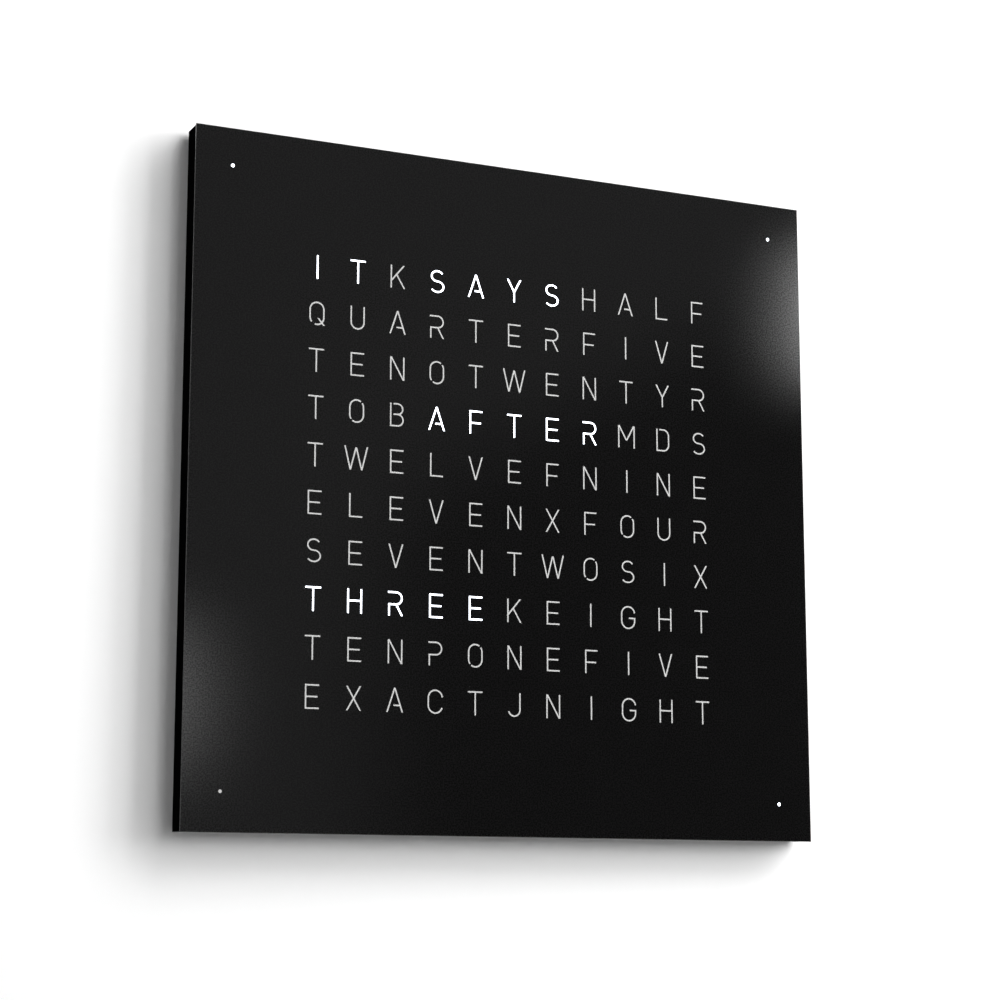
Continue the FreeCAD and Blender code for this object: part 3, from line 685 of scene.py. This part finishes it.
# Faint darker lines on the opal sheet are painted shadow of the light grid's walls behind it.
GRID_SHADE = 1.6             # reach of a well's darker border
GRID_PAST = 0.8              # reach of the lines past the matrix
LATTICE_SHADOW_TINT = (0.42, 0.42, 0.42)
LATTICE_SHADOW_STRENGTH = 0.25
# Painted light of the lamp behind a lit well: bright in its middle, fainter towards its border, and lower
# still under the grid's painted shadow.
GLOW_REACH = (2.0, PITCH_Z * 0.62)
GLOW_LEVELS = (1.3, 0.35)    # in the middle of a lit well and far from it
LATTICE_SHADE_LOSS = 0.7              # at a well's border


def paint_lattice_shadow(m):
    """Paint faint lines of painted shadow where the light grid's walls stand; returns them and the distance
    to a well's middle.
    """
    tree = m.node_tree
    x, _, z = place_in_millimetres(tree)
    off_x, off_z = from_middle(tree, x, PITCH_X), from_middle(tree, z, PITCH_Z, PITCH_Z / 2)
    near_x = remap(tree, off_x, PITCH_X / 2 - GRID_SHADE, PITCH_X / 2, 0.0, 1.0)
    near_z = remap(tree, off_z, PITCH_Z / 2 - GRID_SHADE, PITCH_Z / 2, 0.0, 1.0)
    reach_x, reach_z = PITCH_X * COLUMNS / 2 + GRID_PAST, PITCH_Z * LINES / 2 + GRID_PAST
    inside = calc(tree, "MULTIPLY", calc(tree, "LESS_THAN", calc(tree, "ABSOLUTE", x), reach_x),
                  calc(tree, "LESS_THAN", calc(tree, "ABSOLUTE", z), reach_z))
    line = calc(tree, "MULTIPLY", calc(tree, "MAXIMUM", near_x, near_z), inside)
    tint(m, calc(tree, "MULTIPLY", line, LATTICE_SHADOW_STRENGTH), LATTICE_SHADOW_TINT)
    return line, hypotenuse(tree, off_x, off_z)


def mark_lit_cells():
    """Painted shadow lines of the light grid, and painted light from the lamp behind each lit well, which
    fades towards the well's border.
    """
    line, away = paint_lattice_shadow(OPAL_PAINTED_GLOW_CELL)
    tree = OPAL_PAINTED_GLOW_CELL.node_tree
    middle = remap(tree, away, *GLOW_REACH, *GLOW_LEVELS)
    kept = calc(tree, "SUBTRACT", 1.0, calc(tree, "MULTIPLY", line, LATTICE_SHADE_LOSS))
    tree.links.new(calc(tree, "MULTIPLY", middle, kept),
                   tree.nodes["Principled BSDF"].inputs["Emission Strength"])


mark_tracks()
mark_lamps(PACKAGE, PITCH_X, PITCH_Z, 0.0, PITCH_Z / 2)
mark_lamps(CORNER_PACKAGE, 2 * DOT_PLACE, 2 * DOT_PLACE, DOT_PLACE, DOT_PLACE)
mark_ribbon()
paint_lattice_shadow(OPAL)
mark_lit_cells()


# --- Cover and diffuser ---

COVER_HALF = 225.0
COVER_FRONT = -20.0
COVER_BACK = -19.0
COVER_EDGE = 0.22            # rounding of the cover's outer edge
COVER_TURN = (0.62, 0.22)    # the rounding's middle point outwards and down, in parts of it
DIFFUSER_HALF = 212.1
DIFFUSER_FRONT = -18.9
DIFFUSER_BACK = -18.4
DIFFUSER_EDGE = 0.1
LETTER_FRONT = -19.94        # the raised letters end just under the cover's face
LETTER_GAP = 0.03            # between a raised letter and its cut-out

flat_half = COVER_HALF - COVER_EDGE
cover_rim = [(COVER_EDGE * COVER_TURN[0], COVER_FRONT + COVER_EDGE * COVER_TURN[1]),
             (COVER_EDGE, COVER_FRONT + COVER_EDGE), (COVER_EDGE, COVER_BACK), (0, COVER_BACK)]
bm = bmesh.new()
build_plate(bm, square_plate(flat_half, STROKE, 0.0, DOT_RADIUS), COVER_FRONT, COVER_BACK, cover_rim,
            grow_square(flat_half), pierced=True)
cover = finish_mesh("lettered_cover", bm, [PAINT])
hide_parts("front_cover")
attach(cover, "cover")

flat_half = DIFFUSER_HALF - DIFFUSER_EDGE
diffuser_rim = [(DIFFUSER_EDGE, DIFFUSER_FRONT + DIFFUSER_EDGE), (DIFFUSER_EDGE, DIFFUSER_BACK)]
bm = bmesh.new()
build_plate(bm, square_plate(flat_half, STROKE - 2 * LETTER_GAP, LETTER_GAP, DOT_RADIUS - LETTER_GAP),
            DIFFUSER_FRONT, DIFFUSER_BACK, diffuser_rim, grow_square(flat_half), inner=LETTER_FRONT,
            slots=(0, 1, 2))
diffuser = finish_mesh("opal_diffuser", bm, [OPAL, OPAL_PAINTED_GLOW_CELL, OPAL_PAINTED_GLOW_LETTER])
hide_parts("diffuser_sheet")
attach(diffuser, "housing")


# --- Finishes of the CAD nodes ---

SHARP = math.radians(40)     # an edge that turns more than this is broken


def dress(names, material, bevel, segments=2):
    """Give CAD nodes a finish and break their edges; bevel is in millimetres."""
    for name in names.split():
        node = nodes[name]
        node.data.materials.clear()
        node.data.materials.append(material)
        modifier = node.modifiers.new("edges", "BEVEL")
        modifier.width = bevel * MM
        modifier.segments = segments
        modifier.limit_method = "ANGLE"
        modifier.angle_limit = SHARP


dress("housing_frame", HOUSING, 0.2)
dress("back_panel", PANEL, 0.2)
dress("hanger_plates", ZINC, 0.15)
dress("wall_bumpers", RUBBER, 0.5, 3)
dress("cover_studs", BRIGHT_STEEL, 0.3)
dress("cover_magnets", NICKEL, 0.3, 3)
dress("light_grid minute_cups", WHITE_MOULDING, 0.15)
dress("ribbon_connectors", WHITE_MOULDING, 0.2)
dress("lamp_board controller_board corner_boards", BOARD, 0.1)
dress("word_lamps", PACKAGE, 0.15)
dress("minute_lamps", CORNER_PACKAGE, 0.15)
dress("driver_chips light_sensor processor", CHIP, 0.12)
dress("cell_holder power_jack tact_switches", CHIP, 0.15)
dress("hour_plunger minute_plunger brightness_plunger colour_plunger", CHIP, 0.15)
dress("quartz_crystal backup_cell", BRIGHT_STEEL, 0.4, 3)
dress("buffer_capacitor", CAN, 0.3, 3)
dress("ribbon_cable corner_leads", RIBBON, 0.1)
dress("jack_pin", CONTACT, 0.15)
dress("hour_button minute_button brightness_button colour_button", BUTTON, 0.3, 3)


# --- Panel screws: domed heads with a cross recess, threaded shanks ---

SCREW_PLACES = [(sx * 216.5, sz * 160.0) for sx in (-1, 1) for sz in (-1, 1)]
HEAD_FLAT = 2.0              # radius of the head's flat middle
HEAD_TOP = -0.8
HEAD_SEAT = -2.0
HEAD_DOME = [(0.35, -0.86), (0.62, -1.02), (0.78, -1.3), (0.8, -1.55), (0.8, HEAD_SEAT)]
RECESS_LENGTH = 3.1
RECESS_WIDTH = 0.62
RECESS_FLOOR = -1.65
FIRST_TURN = 17.0            # degrees that the first recess is turned
MORE_TURN = 41.0             # from one recess to the next
SHANK_START = HEAD_SEAT + 0.2
SHANK_RADIUS = 1.5
SHANK_TIP = -12.0
TIP_LENGTH = 1.6
TIP_SHARE = 0.35             # radius at the tip, against the shank's
THREAD_START = HEAD_SEAT - 0.4
THREAD_PITCH = 1.1
THREAD_DEPTH = 0.35
THREAD_SLOPE = 2.6
RINGS_PER_TURN = 6
HEAD_POINTS = 40
SHANK_POINTS = 24


def cross(x, z, length, width, angle):
    """Two crossed slots."""
    shapes = []
    for turned in (angle, angle + 90):
        c, s = math.cos(math.radians(turned)), math.sin(math.radians(turned))
        corners = ((-length, -width), (length, -width), (length, width), (-length, width))
        shapes.append([Vector((x + (a * c - b * s) / 2, z + (a * s + b * c) / 2)) for a, b in corners])
    return shapes


def shank_radius(depth, around, angle):
    """Radius at a depth and a share of the way around, with the thread and the tapered tip."""
    taper = min(1.0, TIP_SHARE + (1 - TIP_SHARE) * (depth - SHANK_TIP) / TIP_LENGTH)
    groove = 0.0
    if depth < THREAD_START:
        phase = (depth / THREAD_PITCH + around + angle / 360) % 1.0
        groove = THREAD_DEPTH * min(1.0, abs(phase - 0.5) * THREAD_SLOPE)
    return (SHANK_RADIUS - groove) * taper


def add_shank(bm, x, z, angle):
    """Threaded shank that tapers at its tip."""
    count = round((SHANK_START - SHANK_TIP) / THREAD_PITCH * RINGS_PER_TURN)
    rings = []
    for k in range(count + 1):
        depth = SHANK_START + (SHANK_TIP - SHANK_START) * k / count
        ring = []
        for step in range(SHANK_POINTS):
            turned = math.tau * step / SHANK_POINTS
            radius = shank_radius(depth, step / SHANK_POINTS, angle)
            ring.append(bm.verts.new(((x + radius * math.cos(turned)) * MM, depth * MM,
                                      (z + radius * math.sin(turned)) * MM)))
        rings.append(ring)
    for a, b in zip(rings, rings[1:]):
        for step in range(SHANK_POINTS):
            bm.faces.new((a[step], a[step - 1], b[step - 1], b[step]))
    bm.faces.new(rings[0])
    bm.faces.new(rings[-1][::-1])


bm = bmesh.new()
for number, (x, z) in enumerate(SCREW_PLACES):
    angle = FIRST_TURN + MORE_TURN * number
    tiles = Tiles()
    outline = disc(x, z, HEAD_FLAT, HEAD_POINTS)
    tiles.add(outline, cross(x, z, RECESS_LENGTH, RECESS_WIDTH, angle))
    tiles.edge = {tiles.point(*p) for p in outline}
    build_plate(bm, tiles, HEAD_TOP, HEAD_SEAT, HEAD_DOME, grow_round(x, z, HEAD_FLAT), inner=RECESS_FLOOR)
    add_shank(bm, x, z, angle)
screws = finish_mesh("cross_head_screws", bm, [BLACK_ZINC])
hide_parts("panel_screws")
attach(screws, "housing")


# --- Wall and floor. Metres from here on ---

def stage_material(name, grey, camera_glow):
    """Pale matt surface, seen from its front only; camera_glow is added for the camera alone."""
    m = bpy.data.materials.new(name)
    m.use_nodes = True
    tree = m.node_tree
    tree.nodes.clear()
    out = tree.nodes.new("ShaderNodeOutputMaterial")
    matt = tree.nodes.new("ShaderNodeBsdfDiffuse")
    matt.inputs["Color"].default_value = (grey, grey, grey, 1)
    glow = tree.nodes.new("ShaderNodeEmission")
    rays = tree.nodes.new("ShaderNodeLightPath").outputs
    tree.links.new(calc(tree, "MULTIPLY", rays["Is Camera Ray"], camera_glow), glow.inputs["Strength"])
    both = tree.nodes.new("ShaderNodeAddShader")
    tree.links.new(matt.outputs[0], both.inputs[0])
    tree.links.new(glow.outputs[0], both.inputs[1])
    clear = tree.nodes.new("ShaderNodeBsdfTransparent")
    mix = tree.nodes.new("ShaderNodeMixShader")
    tree.links.new(tree.nodes.new("ShaderNodeNewGeometry").outputs["Backfacing"], mix.inputs[0])
    tree.links.new(both.outputs[0], mix.inputs[1])
    tree.links.new(clear.outputs[0], mix.inputs[2])
    tree.links.new(mix.outputs[0], out.inputs["Surface"])
    return m


def stage_mesh(name, points, faces, material):
    """Mesh that belongs to the stage and not to the clock."""
    mesh = bpy.data.meshes.new(name)
    mesh.from_pydata(points, [], faces)
    mesh.materials.append(material)
    piece = bpy.data.objects.new(name, mesh)
    scene.collection.objects.link(piece)
    return piece


def upright(reach, low, high, y=0.0):
    """Corners of a rectangle that faces the reader."""
    return [(-reach, y, low), (reach, y, low), (reach, y, high), (-reach, y, high)]


FLOOR_LEVEL = -1.2
STAGE_REACH = 7.0
OPENING = 0.2245             # half of the wall's opening behind the clock, through which its back is lit
MARGIN = 0.206               # the wall is still seen, but lets light by, between this and its opening
RING = [(0, 1, 5, 4), (1, 2, 6, 5), (2, 3, 7, 6), (3, 0, 4, 7)]

WALL = stage_material("wall_white", 0.97, 0.0)
FLOOR = stage_material("floor_pale", 0.22, 0.62)
opening = upright(OPENING, -OPENING, OPENING)
stage_mesh("wall", upright(STAGE_REACH, FLOOR_LEVEL, STAGE_REACH) + opening, RING, WALL)
margin = stage_mesh("wall_margin", opening + upright(MARGIN, -MARGIN, MARGIN), RING, WALL)
margin.visible_shadow = False
margin.visible_diffuse = False
margin.visible_glossy = False
margin.visible_transmission = False
stage_mesh("floor", [(sx * STAGE_REACH, sy * STAGE_REACH, FLOOR_LEVEL)
                     for sx, sy in ((-1, -1), (1, -1), (1, 1), (-1, 1))], [(0, 1, 2, 3)], FLOOR)


# --- Light ---

def toward(place, target):
    """Rotation of a lamp at a place that looks at a target."""
    return (Vector(target) - Vector(place)).to_track_quat("-Z", "Y").to_matrix()


def area_lamp(name, shape, place, facing, size, level):
    """Lamp unseen by the camera; level is its own radiance."""
    data = bpy.data.lights.new(name, "AREA")
    data.shape = shape
    data.size, data.size_y = size
    area = size[0] * size[1] * (math.pi / 4 if shape == "ELLIPSE" else 1.0)
    data.energy = level * math.pi * area
    lamp = bpy.data.objects.new(name, data)
    scene.collection.objects.link(lamp)
    lamp.matrix_world = Matrix.Translation(place) @ facing.to_4x4()
    lamp.visible_camera = False
    return lamp


def soft_box(name, distance, right, up, level):
    """Lamp parallel to the wall, unseen in gloss.

    right and up are its reach as seen from the clock, in parts of its distance from the wall.
    """
    place = Vector((sum(right) / 2, -1.0, sum(up) / 2)) * distance
    size = (right[1] - right[0]) * distance, (up[1] - up[0]) * distance
    area_lamp(name, "RECTANGLE", place, TO_WALL, size, level).visible_glossy = False


def glint(name, place, target, size, spread, level):
    """Narrow oval lamp close to the clock, which shows only as a soft highlight on the cover."""
    lamp = area_lamp(name, "ELLIPSE", Vector(place), toward(place, target), size, level)
    lamp.data.spread = math.radians(spread)
    lamp.visible_diffuse = False


TO_WALL = Matrix.Rotation(math.radians(90), 3, "X")       # shines along +Y
BACK_FILL_PLACE = Vector((-0.6, 2.6, 1.2))

# The keys stand side by side to the upper right, so that the clock's shadow ends softly at its lower left.
soft_box("side_key", 2.4, (1.75, 3.6), (-0.05, 3.2), 16.0)
soft_box("inner_key", 2.4, (1.0, 1.75), (-0.05, 3.2), 6.5)
soft_box("top_key", 2.4, (0.3, 1.4), (0.9, 3.2), 5.6)
soft_box("near_key", 3.0, (0.08, 0.5), (0.0, 0.5), 3.4)
area_lamp("back_fill", "RECTANGLE", BACK_FILL_PLACE, toward(BACK_FILL_PLACE, (0, 0, 0)), (2.0, 2.0), 2.6)
glint("right_glint", (0.420, -0.263, 0.227), (0.223, -0.02, 0.152), (0.047, 0.115), 15.3, 0.142)
glint("left_glint", (-0.172, -0.307, -0.116), (-0.210, -0.02, -0.143), (0.046, 0.114), 22.1, 0.114)

GLOSS = 0.097                # level of the surroundings in front, in the cover's gloss
CARD_DISTANCE = 0.32
CARD_REACH = 1.2
CARD_LOW = -1.0
FADE_RIGHT = (-17.0, 89.0)   # the card goes dark across these, in millimetres
FADE_DOWN = (71.0, -13.0)
RIGHT_LEAN = 0.06            # of the border on the left of the dark part, from upright
DOWN_LEAN = 0.56             # of the border above the dark part, from level


def make_card():
    """Dim panel in front of the clock, seen only in its gloss, which darkens the face's lower right."""
    m = bpy.data.materials.new("card_glow")
    m.use_nodes = True
    tree = m.node_tree
    tree.nodes.clear()
    x, _, z = place_in_millimetres(tree)
    across = calc(tree, "SUBTRACT", x, calc(tree, "MULTIPLY", z, RIGHT_LEAN))
    down = calc(tree, "SUBTRACT", z, calc(tree, "MULTIPLY", x, DOWN_LEAN))
    dark = calc(tree, "MULTIPLY", remap(tree, across, *FADE_RIGHT, 0.0, 1.0),
                remap(tree, down, *FADE_DOWN, 0.0, 1.0))
    shown = calc(tree, "SUBTRACT", 1.0, dark)
    light = tree.nodes.new("ShaderNodeEmission")
    tree.links.new(calc(tree, "MULTIPLY", shown, GLOSS), light.inputs["Strength"])
    tree.links.new(light.outputs[0], tree.nodes.new("ShaderNodeOutputMaterial").inputs["Surface"])
    corners = upright(CARD_REACH, CARD_LOW, CARD_REACH, COVER_FRONT * MM - CARD_DISTANCE)
    card = stage_mesh("reflection_card", corners, [(0, 1, 2, 3)], m)
    card.visible_camera = False
    card.visible_diffuse = False
    card.visible_transmission = False
    card.visible_shadow = False


FILL = 0.28                  # level of the surroundings as light
FRONT_END = (-0.3, 0.0)      # depth of the directions between which the front's gloss ends
RISE = (-0.4, 0.9)           # height of the directions between which the other sides grow brighter
RISE_LEVELS = (0.25, 0.95)   # their level in gloss, below and above


def make_world():
    """Soft studio: white for the camera, even as light, and in gloss dim in front and brighter around."""
    world = bpy.data.worlds.new("studio")
    scene.world = world
    world.use_nodes = True
    tree = world.node_tree
    direction = tree.nodes.new("ShaderNodeSeparateXYZ")
    tree.links.new(tree.nodes.new("ShaderNodeTexCoord").outputs["Generated"], direction.inputs[0])
    _, y, z = direction.outputs
    rays = tree.nodes.new("ShaderNodeLightPath").outputs

    def blend(share, value, otherwise):
        """The value where the share is 1, and the other one where it is 0."""
        more = calc(tree, "MULTIPLY", share, calc(tree, "SUBTRACT", value, otherwise))
        return calc(tree, "ADD", more, otherwise)

    gloss = blend(remap(tree, y, *FRONT_END, 1.0, 0.0), GLOSS, remap(tree, z, *RISE, *RISE_LEVELS))
    level = blend(rays["Is Camera Ray"], 1.0, blend(rays["Is Glossy Ray"], gloss, FILL))
    back = tree.nodes["Background"]
    back.inputs["Color"].default_value = (1, 1, 1, 1)
    tree.links.new(level, back.inputs["Strength"])


make_card()
make_world()

scene.view_settings.view_transform = "Standard"
